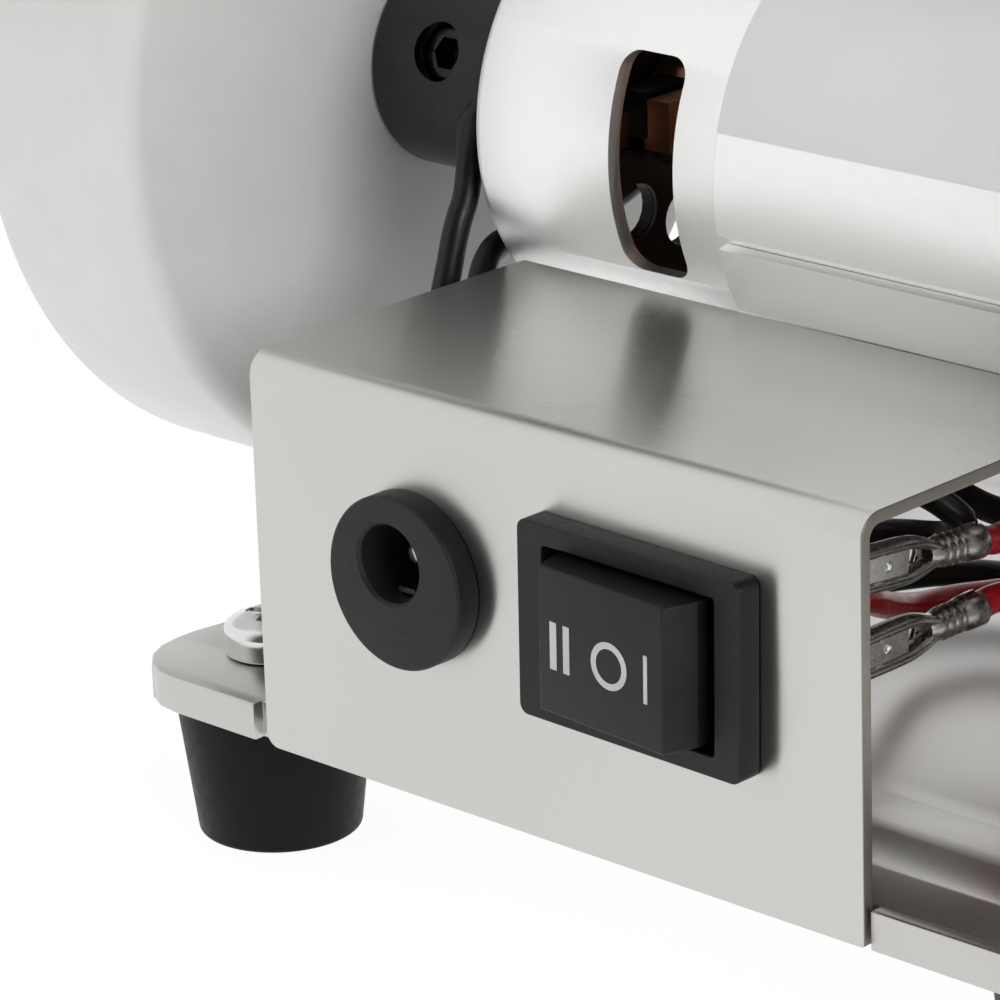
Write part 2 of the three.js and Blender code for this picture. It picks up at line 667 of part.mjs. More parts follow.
// ---------------------------------------------------------------- leads inside the machine
// Each lead runs from solder joint to solder joint, so its route is its real one.
const leadRoutes = {
  motor_lead_front: [blackWire, 28, [
    [-40.9, -8.7, 53.3], [-40.2, -10.6, 52.4], [-38.6, -12.4, 50.8], [-37.7, -13.9, 48],
    [-37.5, -15.2, 45.9], [-37.5, -16.2, 43], [-37.2, -17.8, 38], [-34, -19.6, 32], [-29, -21, 26],
    [-21, -22, 21], [-12, -22, 19], [-5, -19.6, 21], [-1, -19.4, 25.4], [-0.2, -21.2, 27],
    [-0.2, -24.4, 26.8],
  ]],
  motor_lead_rear: [blackWire, 44, [
    [-40.9, 13.8, 53.2], [-41, 13.9, 49.5], [-40.6, 11, 44.6], [-40.2, 4, 42.4], [-39.6, -3, 42.4],
    [-39, -9, 42.6], [-37.4, -12.8, 41], [-35.2, -15.6, 37.6], [-29, -17, 32.6], [-18, -16.5, 29],
    [-8, -14.6, 27.8], [0, -13.6, 28.2], [6, -13.2, 29.2], [10.4, -13, 30], [12.4, -14, 31.8],
    [10.4, -15.6, 33.9], [5, -16.8, 35.4], [1, -18.2, 35.4], [-0.1, -20.4, 34.2], [-0.2, -22, 33.4],
    [-0.2, -24.4, 33.3],
  ]],
  jack_lead_black: [blackWire, 48, [
    [-15.9, -28.8, 28.4], [-15.7, -26, 27], [-15, -20, 22.6], [-13, -11, 19.2], [-10, -2, 18],
    [-5.4, 6.4, 17.8], [1, 9.6, 17.8], [8, 8.8, 18.4], [15, 3.6, 21.6], [19.4, -2.6, 25.6],
    [20.6, -6.4, 28.4], [18.6, -7.4, 29.8], [14, -6.8, 30], [10.4, -7, 30.1], [8, -7, 30.4],
    [5.4, -7.3, 31.4], [2.6, -8.5, 34], [2.4, -12, 37.2], [4.4, -16.4, 39], [6.8, -19, 37],
    [7.7, -20.8, 34.2], [7.7, -24.4, 33.2],
  ]],
  jack_lead_red: [redWire, 26, [
    [-15.9, -28.8, 30.95], [-14.4, -24, 31.6], [-8.5, -20.2, 31.4], [-2.5, -17.6, 31.6],
    [3.2, -17.4, 29.6], [6.6, -18.4, 27.3], [7.7, -20.6, 26.9], [7.7, -24.4, 26.7],
  ]],
  switch_lead_upper: [redWire, 38, [
    [15.7, -16.05, 31.6], [15.75, -14.2, 31.2], [16, -11.4, 31.6], [16.6, -7, 33], [16.8, -1.4, 32.4],
    [17, 3.4, 28], [14.4, 5.8, 24.3], [9, 5.4, 21.4], [3.4, 3.4, 19.2], [0.6, 0, 18.9],
    [-0.1, -4.3, 19.3], [1.2, -9.4, 21.2], [2.2, -12.8, 22.8], [2.4, -17, 24], [0.6, -21, 24.1],
    [0.2, -24, 23.8], [1.4, -26, 25.2], [1.7, -27.2, 26.6], [1.7, -28.6, 27],
  ]],
  switch_lead_lower: [redWire, 36, [
    [15.6, -16, 26.5], [15.75, -14.2, 26.6], [16.3, -11.4, 26.2], [18.6, -7.6, 24.4], [23, -2, 24.6],
    [23, 4.5, 28], [15, 5.6, 31.4], [8.5, -0.6, 32], [4.6, -4, 33.2], [-1, -8, 35], [-3.4, -12.6, 36.6],
    [-2.4, -18, 37.6], [1.4, -21.8, 36.6], [2.4, -24.6, 34.6], [1.7, -27, 33.3], [1.7, -28.6, 33.2],
  ]],
};

function lead(points, steps) {
  const places = points.map((point) => new THREE.Vector3(...point));
  const route = new THREE.CatmullRomCurve3(places, false, 'centripetal');
  const section = new THREE.Shape();
  for (let i = 0; i < 8; i++) {
    const angle = (i + 0.5) * Math.PI / 4;
    const place = [wireRadius * Math.cos(angle), wireRadius * Math.sin(angle)];
    if (i === 0) {
      section.moveTo(...place);
    } else {
      section.lineTo(...place);
    }
  }
  return solidOf(new THREE.ExtrudeGeometry(section, { steps, bevelEnabled: false, extrudePath: route }));
}

// ---------------------------------------------------------------- assembly
addPiece('base_plate', basePlate(), brushedSteel);
for (const [place, x, y] of footPlaces()) {
  addPiece(`rubber_foot_${place}`, rubberFoot(x, y), footRubber);
  addPiece(`foot_screw_${place}`, footScrew(x, y), screwSteel);
}

addPiece('control_housing', controlHousing(), brushedSteel);
addPiece('dc_jack_body', dcJackBody(), blackPlastic);
addPiece('dc_jack_pin', dcJackPin(), screwSteel);
addPiece('dc_jack_contact', dcJackContact(), tinPlate);
addPiece('dc_jack_nut', dcJackNut(), screwSteel);

const switchGroup = new THREE.Group();
switchGroup.position.set(switchX, housingFace, switchZ);
switchGroup.rotation.y = switchTurn;
machine.add(switchGroup);
addPiece('switch_body', switchBody(), blackPlastic, switchGroup);
const rocker = addPiece('switch_rocker', switchRocker(), blackPlastic, switchGroup);
rocker.position.set(rockerOffset, rockerPivotDepth, 0);
rocker.rotation.z = -rockerRestTilt;
for (const [rowName, row, droop] of [['upper', 1, upperDroop], ['lower', -1, lowerDroop]]) {
  for (const [columnName, column] of [['left', -1], ['middle', 0], ['right', 1]]) {
    const tab = addPiece(`switch_tab_${columnName}_${rowName}`, switchTab(), tinPlate, switchGroup);
    tab.position.set(column * tabColumn, switchBodyDepth, row * tabRow);
    tab.rotation.x = column > 0 ? -droop : 0;
  }
  const connector = addPiece(`spade_connector_${rowName}`, spadeConnector(), tinPlate, switchGroup);
  connector.position.set(tabColumn, switchBodyDepth, row * tabRow);
  connector.rotation.x = -droop;
}

addPiece('motor_can', motorCan(), nickelCan);
addPiece('flux_ring', fluxRing(), nickelCan);
addPiece('motor_label', motorLabel(), labelFoil);
addPiece('end_cap', endCap(), blackPlastic);
addPiece('rear_bearing', turnedX(sleeve(-36.3, -30, shaftBore, 4), 24), bronze);
addPiece('front_bearing', turnedX(sleeve(canRight - 1, canRight + 3.4, shaftBore, 5), 24), bronze);
addPiece('magnet_upper', magnet(90), magnetBlack);
addPiece('magnet_lower', magnet(270), magnetBlack);
for (const [place, side] of [['front', -1], ['rear', 1]]) {
  addPiece(`brush_${place}`, brush(side), copper);
  addPiece(`motor_terminal_${place}`, motorTerminal(side), tinPlate);
  addPiece(`mount_screw_${place}`, mountScrew(side), screwSteel);
}
addPiece('motor_bracket', motorBracket(), brushedSteel);

const shaftEnd = arborBoreEnd - fitGap;
addPiece('motor_shaft', turnedX(rod(-shaftEnd, shaftEnd, shaftRadius), 24), screwSteel);
addPiece('armature_core', armatureCore(), ironCore);
addPiece('winding_left', winding(-13.6, -8.3), copper);
addPiece('winding_right', winding(19.3, 23.4), copper);
addPiece('commutator', turnedX(sleeve(-28, -19.5, shaftBore, 4.5), 20), copper);
for (const [place, side] of [['left', -1], ['right', 1]]) {
  addPiece(`arbor_${place}`, arbor(side), blackSteel);
  addPiece(`set_screw_${place}`, setScrew(side), blackSteel);
  addPiece(`wheel_${place}`, wheel(side), wheelWhite);
  addPiece(`flange_washer_${place}`, flangeWasher(side), screwSteel);
  addPiece(`arbor_nut_${place}`, arborNut(side), screwSteel);
}

for (const [name, [material, steps, points]] of Object.entries(leadRoutes)) {
  addPiece(name, lead(points, steps), material);
}

export default machine;
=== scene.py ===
"""Looks of the mini bench grinder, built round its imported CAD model. Blender 4.5, metres, +Z up."""

import json
import math

import bmesh
import bpy
from mathutils import Matrix, Vector


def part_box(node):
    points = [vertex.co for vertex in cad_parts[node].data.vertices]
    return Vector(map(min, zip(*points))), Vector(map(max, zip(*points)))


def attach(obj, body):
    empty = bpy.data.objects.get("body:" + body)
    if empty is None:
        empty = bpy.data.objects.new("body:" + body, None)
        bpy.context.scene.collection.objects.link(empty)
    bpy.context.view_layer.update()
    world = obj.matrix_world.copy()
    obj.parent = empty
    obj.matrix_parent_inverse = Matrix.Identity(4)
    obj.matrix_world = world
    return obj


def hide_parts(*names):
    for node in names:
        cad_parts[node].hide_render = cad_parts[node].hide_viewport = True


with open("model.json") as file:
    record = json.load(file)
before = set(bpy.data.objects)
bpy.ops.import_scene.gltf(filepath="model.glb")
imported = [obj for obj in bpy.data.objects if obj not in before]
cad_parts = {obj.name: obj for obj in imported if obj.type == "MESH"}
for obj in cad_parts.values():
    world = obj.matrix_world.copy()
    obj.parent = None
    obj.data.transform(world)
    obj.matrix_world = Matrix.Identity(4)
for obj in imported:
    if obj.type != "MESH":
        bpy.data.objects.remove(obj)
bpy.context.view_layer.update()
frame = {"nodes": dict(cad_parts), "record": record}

# ---------------------------------------------------------------- driving dimensions
MM = 0.001
SHEET = 1.0 * MM                # housing sheet
BEND = 2.0 * MM                 # outside radius of the housing's fold
PLATE_EAR = 17.2 * MM           # width of an ear of the base plate
PLATE_BODY = 35 * MM            # half width of the base plate without its ears
BEZEL = (21 * MM, 15 * MM)      # width and height of the switch's bezel
BEZEL_PROUD = 2.2 * MM
SWITCH_HOLE = (19.2 * MM, 13.2 * MM)
SWITCH_CASE = (18.8 * MM, 12.6 * MM)
SWITCH_MOUTH = (16.2 * MM, 11.8 * MM)
SWITCH_TURN = math.radians(1)
ROCKER_TILT = math.radians(3.3)
ROCKER_OFFSET = 0.2 * MM        # its pivot is this far right of the bezel's middle
ROCKER_PIVOT = 3.5 * MM         # behind the panel face
ROCKER_REACH = 8.2 * MM         # from the pivot to the rocker's face
ROCKER_HEIGHT = 11 * MM
LEGEND = 0.04 * MM              # thickness of the printed marks
SOCKET_THREAD = 5.4 * MM        # radius of the power socket behind its flange
SOCKET_HOLE = 5.7 * MM          # radius of its hole in the panel
PLUG_BORE = 3 * MM              # radius
PLUG_MOUTH = 3.3 * MM           # radius where the bore flares
SHAFT_RADIUS = 2.5 * MM
ARBOR_BORE = 2.6 * MM           # radius of the collar's bore for the shaft
ARBOR_SPIGOT = 4 * MM           # radius of the end that carries the wheel
ARBOR_SHOULDER = 55.45 * MM     # from the machine's middle to where the wheel sits
WHEEL_BORE = 4.3 * MM           # radius of the bore in the wheel, its washer and its nut
SET_SCREW_RADIUS = 2.3 * MM
SET_SCREW_PLACE = 48.2 * MM     # from the machine's middle
SET_SCREW_ANGLE = math.radians(161.2)
RING_GAP = (math.radians(190), math.radians(193.4))
LABEL_ARC = (math.radians(62), math.radians(165.8))
CONNECTOR_DROOP = {"upper": math.radians(5.8), "lower": math.radians(0.3)}
LEAD_RADIUS = 1.1 * MM


def centre(node):
    low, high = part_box(node)
    return (low + high) / 2


SPINDLE = centre("motor_shaft")
HOUSING_LOW, HOUSING_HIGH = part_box("control_housing")
CAN_LOW, CAN_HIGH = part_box("motor_can")
RING_LOW, RING_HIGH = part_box("flux_ring")
PLATE_LOW, PLATE_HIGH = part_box("base_plate")
SWITCH = Vector((centre("switch_body").x, HOUSING_LOW.y, centre("switch_body").z))


# ---------------------------------------------------------------- camera, lights and floor
CAMERA_ANGLES = (44.1603, 19.3218, -1.9090)             # azimuth, elevation and roll, in degrees
CAMERA_PLACE = (0.236275, -0.293350, 0.159586)
CAMERA_LENS, SENSOR_WIDTH = 184.97, 36                  # in millimetres
WORLD_RIGHT = 0.1                       # brightness of the surroundings on the machine's right
LAMP_STRENGTH = 6.5                     # of the right lamp, where the white surroundings are 1
RIGHT_LAMP = (0.891, -0.256, 0.375)     # direction of the lamp beside the right wheel
LAMP_EDGE = (0.95, 0.99)                # cosines of the angles off its direction where the lamp fades in
DARK_GAP = (-0.657, 0.33, 0.678)        # direction of the dark gap between the lamps
GAP_EDGE = (0.955, 0.985)
GAP_TONE = 0.1
SIDE_SWING = (-0.45, 0.15)              # cosines off +X between which the surroundings dim
FLOOR_TONE, FLOOR_GLOW = 0.12, 0.94     # its colour, and how strongly it shines white
FLOOR_REACH = 6


def add_camera():
    """The photo's camera, fitted to the edges of the panel, the switch and the power socket."""
    azimuth, elevation, roll = (math.radians(angle) for angle in CAMERA_ANGLES)
    back = Vector((
        math.sin(azimuth) * math.cos(elevation), -math.cos(azimuth) * math.cos(elevation),
        math.sin(elevation)))
    level = Vector((math.cos(azimuth), math.sin(azimuth), 0))
    right = Matrix.Rotation(roll, 3, back) @ level
    up = back.cross(right)
    data = bpy.data.cameras.new("camera")
    data.lens = CAMERA_LENS
    data.sensor_width = SENSOR_WIDTH
    data.clip_start = 0.02
    camera = bpy.data.objects.new("camera", data)
    camera.matrix_world = Matrix((right, up, back)).transposed().to_4x4()
    camera.location = CAMERA_PLACE
    bpy.context.scene.collection.objects.link(camera)
    bpy.context.scene.camera = camera


def add_world():
    """White surroundings: dim on the machine's right but for one lamp, with a dark gap high on the left."""
    world = bpy.data.worlds.new("studio")
    world.use_nodes = True
    tree = world.node_tree
    direction = tree.nodes.new("ShaderNodeTexCoord").outputs["Generated"]
    side = toned_by_direction(tree, direction, (1, 0, 0), SIDE_SWING, (1.0, WORLD_RIGHT))
    gap = toned_by_direction(tree, direction, DARK_GAP, GAP_EDGE, (1.0, GAP_TONE))
    lamp = toned_by_direction(tree, direction, RIGHT_LAMP, LAMP_EDGE, (1.0, LAMP_STRENGTH / WORLD_RIGHT))
    tone = multiplied(tree, multiplied(tree, side, gap), lamp)
    tree.links.new(tone, tree.nodes["Background"].inputs["Strength"])
    tree.nodes["Background"].inputs["Color"].default_value = (1, 1, 1, 1)
    bpy.context.scene.world = world
    bpy.context.scene.view_settings.view_transform = "Standard"


def multiplied(tree, first, second):
    product = tree.nodes.new("ShaderNodeMath")
    product.operation = "MULTIPLY"
    tree.links.new(first, product.inputs[0])
    tree.links.new(second, product.inputs[1])
    return product.outputs["Value"]


def toned_by_direction(tree, direction, towards, cosines, tones):
    """A tone that runs between two values as the direction swings towards another one."""
    dot = tree.nodes.new("ShaderNodeVectorMath")
    dot.operation = "DOT_PRODUCT"
    dot.inputs[1].default_value = towards
    ramp = tree.nodes.new("ShaderNodeMapRange")
    ramp.interpolation_type = "SMOOTHSTEP"
    ramp.inputs["From Min"].default_value, ramp.inputs["From Max"].default_value = cosines
    ramp.inputs["To Min"].default_value, ramp.inputs["To Max"].default_value = tones
    tree.links.new(direction, dot.inputs[0])
    tree.links.new(dot.outputs["Value"], ramp.inputs["Value"])
    return ramp.outputs["Result"]


def add_floor():
    mesh = bpy.data.meshes.new("floor")
    corners = [(FLOOR_REACH * x, FLOOR_REACH * y, 0) for x, y in ((-1, -1), (1, -1), (1, 1), (-1, 1))]
    mesh.from_pydata(corners, [], [(0, 1, 2, 3)])
    floor = bpy.data.objects.new("floor", mesh)
    material, shader = plain_material("floor_white", (FLOOR_TONE,) * 3, 1.0)
    shader.inputs["Emission Color"].default_value = (1, 1, 1, 1)
    shader.inputs["Specular IOR Level"].default_value = 0.0
    shader.inputs["Emission Strength"].default_value = FLOOR_GLOW
    mesh.materials.append(material)
    bpy.context.scene.collection.objects.link(floor)


# ---------------------------------------------------------------- materials
def plain_material(name, colour, roughness, metallic=0.0):
    material = bpy.data.materials.new(name)
    material.use_nodes = True
    shader = material.node_tree.nodes["Principled BSDF"]
    shader.inputs["Base Color"].default_value = (*colour, 1)
    shader.inputs["Roughness"].default_value = roughness
    shader.inputs["Metallic"].default_value = metallic
    return material, shader


def add_node(material, kind, **values):
    node = material.node_tree.nodes.new(kind)
    for name, value in values.items():
        if name in node.inputs:
            node.inputs[name].default_value = value
        else:
            setattr(node, name, value)
    return node


def noise_of(material, scale, detail=3.0, stretch=(1, 1, 1)):
    """Noise in the piece's own coordinates; a small stretch along an axis draws it out along that axis."""
    links = material.node_tree.links
    where = add_node(material, "ShaderNodeTexCoord")
    mapping = add_node(material, "ShaderNodeMapping", Scale=stretch)
    noise = add_node(material, "ShaderNodeTexNoise", Scale=scale, Detail=detail)
    links.new(where.outputs["Object"], mapping.inputs["Vector"])
    links.new(mapping.outputs["Vector"], noise.inputs["Vector"])
    return noise.outputs["Fac"]


NOISE_MIDDLE = (0.3, 0.7)       # where most of a noise texture's values lie


def between(material, factor, low, high):
    """A number that runs from low to high as the noise does over its middle range."""
    ramp = add_node(material, "ShaderNodeMapRange")
    ramp.inputs["From Min"].default_value, ramp.inputs["From Max"].default_value = NOISE_MIDDLE
    ramp.inputs["To Min"].default_value = low
    ramp.inputs["To Max"].default_value = high
    material.node_tree.links.new(factor, ramp.inputs["Value"])
    return ramp.outputs["Result"]


def mixed(material, factor, dark, light):
    mix = add_node(material, "ShaderNodeMix", data_type="RGBA")
    mix.inputs[6].default_value = (*dark, 1)
    mix.inputs[7].default_value = (*light, 1)
    material.node_tree.links.new(factor, mix.inputs[0])
    return mix.outputs[2]


def bumped(material, shader, height, distance):
    bump = add_node(material, "ShaderNodeBump", Distance=distance, Strength=1.0)
    material.node_tree.links.new(height, bump.inputs["Height"])
    material.node_tree.links.new(bump.outputs["Normal"], shader.inputs["Normal"])


def metal(name, dark, light, roughness, scale, stretch=(1, 1, 1), grain=0.0, brushed=0.0):
    """A metal whose tone drifts between two colours; brushed draws its reflections out across the spindle."""
    material, shader = plain_material(name, light, roughness[0], 1.0)
    links = material.node_tree.links
    tone = between(material, noise_of(material, 18, 4.0), 0, 1)
    links.new(mixed(material, tone, dark, light), shader.inputs["Base Color"])
    fine = noise_of(material, scale, 4.0, stretch)
    links.new(between(material, fine, *roughness), shader.inputs["Roughness"])
    if grain:
        bumped(material, shader, fine, grain)
    if brushed:
        tangent = add_node(material, "ShaderNodeTangent", direction_type="RADIAL", axis="X")
        links.new(tangent.outputs["Tangent"], shader.inputs["Tangent"])
        shader.inputs["Anisotropic"].default_value = brushed
    return material


def moulded(name, dark, light, roughness, scale, height, specular=0.5, ior=1.5):
    """Plastic, rubber, enamel or stone with a fine surface texture."""
    material, shader = plain_material(name, light, roughness[0])
    links = material.node_tree.links
    tone = between(material, noise_of(material, scale / 12, 4.0), 0, 1)
    links.new(mixed(material, tone, dark, light), shader.inputs["Base Color"])
    fine = noise_of(material, scale, 3.0)
    links.new(between(material, fine, *roughness), shader.inputs["Roughness"])
    shader.inputs["Specular IOR Level"].default_value = specular
    shader.inputs["IOR"].default_value = ior
    bumped(material, shader, fine, height)
    return material


MATERIALS = {}


def make_materials():
    made = {
        "housing_steel": metal(
            "housing_steel", (0.58, 0.58, 0.553), (0.625, 0.625, 0.597), (0.26, 0.28), 40,
            brushed=0.8),
        "sheared_edge": metal("sheared_edge", (0.19, 0.175, 0.155), (0.3, 0.28, 0.25), (0.4, 0.55), 1800),
        "base_steel": metal("base_steel", (0.55, 0.54, 0.525), (0.6, 0.59, 0.57), (0.3, 0.33), 60),
        "bright_steel": metal("bright_steel", (0.66, 0.66, 0.65), (0.80, 0.80, 0.79), (0.10, 0.18), 900),
        "tin_plate": metal(
            "tin_plate", (0.30, 0.29, 0.265), (0.46, 0.445, 0.42), (0.2, 0.32), 1500,
            grain=0.000006),
        "nickel": metal("nickel", (0.92, 0.92, 0.91), (0.96, 0.96, 0.95), (0.36, 0.42), 1400),
        "black_steel": moulded(
            "black_steel", (0.0015, 0.0015, 0.0015), (0.003, 0.003, 0.003), (0.22, 0.28), 1200,
            0.000001, 0.5, 1.6),
        "copper": metal("copper", (0.66, 0.34, 0.2), (0.8, 0.46, 0.3), (0.35, 0.5), 1600),
        "bronze": metal("bronze", (0.36, 0.23, 0.09), (0.5, 0.34, 0.16), (0.35, 0.5), 1600),
        "core_iron": metal(
            "core_iron", (0.16, 0.15, 0.15), (0.3, 0.3, 0.3), (0.4, 0.55), 2500, (30, 1, 1),
            0.00002),
        "label_foil": moulded(
            "label_foil", (0.88, 0.88, 0.885), (0.91, 0.91, 0.915), (0.42, 0.5), 1800, 0.000001),
        "jack_plastic": moulded(
            "jack_plastic", (0.009, 0.009, 0.01), (0.014, 0.014, 0.015), (0.46, 0.58), 2600,
            0.000006, 0.32),
        "switch_plastic": moulded(
            "switch_plastic", (0.004, 0.004, 0.0046), (0.008, 0.008, 0.0085), (0.42, 0.52), 3600,
            0.000005, 0.34),
        "foot_rubber": moulded(
            "foot_rubber", (0.002, 0.002, 0.0023), (0.004, 0.004, 0.0044), (0.42, 0.52), 1500,
            0.000003, 0.16),
        "wheel_abrasive": moulded(
            "wheel_abrasive", (0.79, 0.79, 0.775), (0.82, 0.82, 0.81), (0.85, 0.95), 2600,
            0.00001),
        "ferrite": moulded("ferrite", (0.03, 0.03, 0.033), (0.06, 0.06, 0.065), (0.6, 0.8), 2000, 0.00001),
        "red_insulation": moulded(
            "red_insulation", (0.42, 0.004, 0.012), (0.55, 0.008, 0.02), (0.22, 0.34), 900,
            0.000003),
        "black_insulation": moulded(
            "black_insulation", (0.006, 0.006, 0.007), (0.011, 0.012, 0.014), (0.3, 0.42), 900,
            0.000003, 0.35),
        "legend_print": moulded(
            "legend_print", (0.5, 0.5, 0.5), (0.62, 0.62, 0.61), (0.5, 0.6), 3000, 0.000002),
        "varnish_brown": moulded(
            "varnish_brown", (0.03, 0.014, 0.008), (0.055, 0.026, 0.015), (0.4, 0.5), 900,
            0.00001),
    }
    MATERIALS.update(made)


def dress_cad_nodes():
    """Gives each CAD node that stays visible the procedural material of its slot."""
    slots = {s["node"]: s["material_slot"] for s in frame["record"]["subparts"]}
    for name, node in frame["nodes"].items():
        node.data.materials.clear()
        node.data.materials.append(MATERIALS[slots[name]])


# ---------------------------------------------------------------- mesh tools
SHARP_ANGLE = math.radians(35)  # edges that turn more than this are sharp
WELD = 1e-7                     # points nearer than this are one


def rounded(points, steps=5):
    """Points (u, v, radius) as a polyline whose corners are arcs."""
    line = []
    for index, (u, v, radius) in enumerate(points):
        corner = Vector((u, v))
        if radius == 0:
            line.append(corner)
            continue
        before = (Vector(points[index - 1][:2]) - corner).normalized()
        after = (Vector(points[(index + 1) % len(points)][:2]) - corner).normalized()
        half = before.angle(after) / 2
        middle = corner + (before + after).normalized() * (radius / math.sin(half))
        spoke = corner + before * (radius / math.tan(half)) - middle
        last = corner + after * (radius / math.tan(half)) - middle
        sweep = math.atan2(spoke.x * last.y - spoke.y * last.x, spoke.dot(last))
        for step in range(steps + 1):
            turn = Matrix.Rotation(sweep * step / steps, 2)
            line.append(middle + turn @ spoke)
    return line


def box_outline(width, height, radius, u=0.0, v=0.0, steps=5):
    w, h = width / 2, height / 2
    corners = [(u - w, v - h), (u + w, v - h), (u + w, v + h), (u - w, v + h)]
    return rounded([(*corner, radius) for corner in corners], steps=steps)


def circle(radius, u=0.0, v=0.0, count=64):
    return [Vector((u + radius * math.cos(2 * math.pi * i / count),
        v + radius * math.sin(2 * math.pi * i / count)))
            for i in range(count)]


def new_object(name, mesh):
    piece = bpy.data.objects.new(name, mesh)
    bpy.context.scene.collection.objects.link(piece)
    return piece


def plate(name, outlines, thickness, edge):
    """A slab in XY from z = 0 up, with rounded edges: the first outline is its rim, the others are holes."""
    curve = bpy.data.curves.new(name, "CURVE")
    curve.dimensions = "2D"
    curve.fill_mode = "BOTH"
    curve.extrude = thickness / 2 - edge
    curve.bevel_depth = edge
    curve.bevel_resolution = 2
    curve.offset = -edge
    for outline in outlines:
        spline = curve.splines.new("POLY")
        spline.points.add(len(outline) - 1)
        for point, place in zip(spline.points, outline):
            point.co = (place[0], place[1], 0, 1)
        spline.use_cyclic_u = True
    holder = new_object(name + "_curve", curve)
    mesh = bpy.data.meshes.new_from_object(holder)
    bpy.data.objects.remove(holder)
    mesh.transform(Matrix.Translation((0, 0, thickness / 2)))
    return new_object(name, mesh)


def turned(name, profile, segments=96):
    """A solid turned about Z from profile points (along, radius); a point on the axis closes it."""
    work = bmesh.new()
    rings = []
    for along, radius in profile:
        count = 1 if radius < WELD else segments
        rings.append([
            work.verts.new((
                radius * math.cos(2 * math.pi * i / segments),
                radius * math.sin(2 * math.pi * i / segments), along))
            for i in range(count)])
    for first, second in zip(rings, rings[1:]):
        if len(first) == 1 and len(second) == 1:
            continue
        for i in range(segments):
            corners = [first[i % len(first)], first[(i + 1) % len(first)], second[(i + 1) % len(second)],
                second[i % len(second)]]
            work.faces.new(list(dict.fromkeys(corners)))
    bmesh.ops.remove_doubles(work, verts=work.verts, dist=WELD)
    bmesh.ops.recalc_face_normals(work, faces=work.faces)
    mesh = bpy.data.meshes.new(name)
    work.to_mesh(mesh)
    work.free()
    return new_object(name, mesh)


def joined(name, pieces):
    """Several pieces' meshes as one object."""
    work = bmesh.new()
    for piece in pieces:
        mesh = piece.data
        work.from_mesh(mesh)
        bpy.data.objects.remove(piece)
    mesh = bpy.data.meshes.new(name)
    work.to_mesh(mesh)
    work.free()
    return new_object(name, mesh)


def placed(piece, matrix):
    piece.data.transform(matrix)
    if matrix.determinant() < 0:
        piece.data.flip_normals()
    return piece


def facing(x_axis, y_axis, z_axis, origin=(0, 0, 0)):
    """The matrix that lays a piece's own X, Y and Z along three directions from an origin."""
    turn = Matrix((x_axis, y_axis, z_axis)).transposed().to_4x4()
    return Matrix.Translation(origin) @ turn


def along_x(origin, side=1):
    """Lays a turned piece's axis along X, or along -X for side -1."""
    return facing((0, side, 0), (0, 0, 1), (side, 0, 0), origin)


def along_y(origin):
    """Lays a slab's XY on the model's XZ, with its thickness towards -Y."""
    return facing((1, 0, 0), (0, 0, 1), (0, -1, 0), origin)


def carve(piece, *cutters):
    for cutter in cutters:
        cut = piece.modifiers.new("cut", "BOOLEAN")
        cut.object = cutter
        cut.solver = "EXACT"
    bake(piece)
    for cutter in cutters:
        bpy.data.objects.remove(cutter)
    return piece


def soften(piece, width):
    bevel = piece.modifiers.new("edge", "BEVEL")
    bevel.width = width
    bevel.segments = 2
    bevel.limit_method = "ANGLE"
    bevel.angle_limit = SHARP_ANGLE
    bake(piece)
    return piece


def bake(piece):
    """Applies the piece's modifiers to its mesh."""
    bpy.context.view_layer.update()
    graph = bpy.context.evaluated_depsgraph_get()
    mesh = bpy.data.meshes.new_from_object(piece.evaluated_get(graph))
    piece.modifiers.clear()
    piece.data = mesh


def cable(name, points, radius, sides=4):
    """A round cord through points in metres, as a mesh."""
    curve = bpy.data.curves.new(name, "CURVE")
    curve.dimensions = "3D"
    curve.bevel_depth = radius
    curve.bevel_resolution = sides
    curve.use_fill_caps = True
    spline = curve.splines.new("NURBS")
    spline.points.add(len(points) - 1)
    for point, place in zip(spline.points, points):
        point.co = (*place, 1)
    spline.order_u = 4
    spline.use_endpoint_u = True
    spline.resolution_u = 8
    holder = new_object(name + "_curve", curve)
    mesh = bpy.data.meshes.new_from_object(holder)
    bpy.data.objects.remove(holder)
    return new_object(name, mesh)


def finish(piece, material, body, *nodes):
    """Shades, colours and mounts a piece, and lets it stand for its CAD nodes."""
    mesh = piece.data
    mesh.materials.clear()
    mesh.materials.append(MATERIALS[material])
    mesh.shade_smooth()
    mesh.set_sharp_from_angle(angle=SHARP_ANGLE)
    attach(piece, body)
    if nodes:
        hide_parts(*nodes)
    return piece


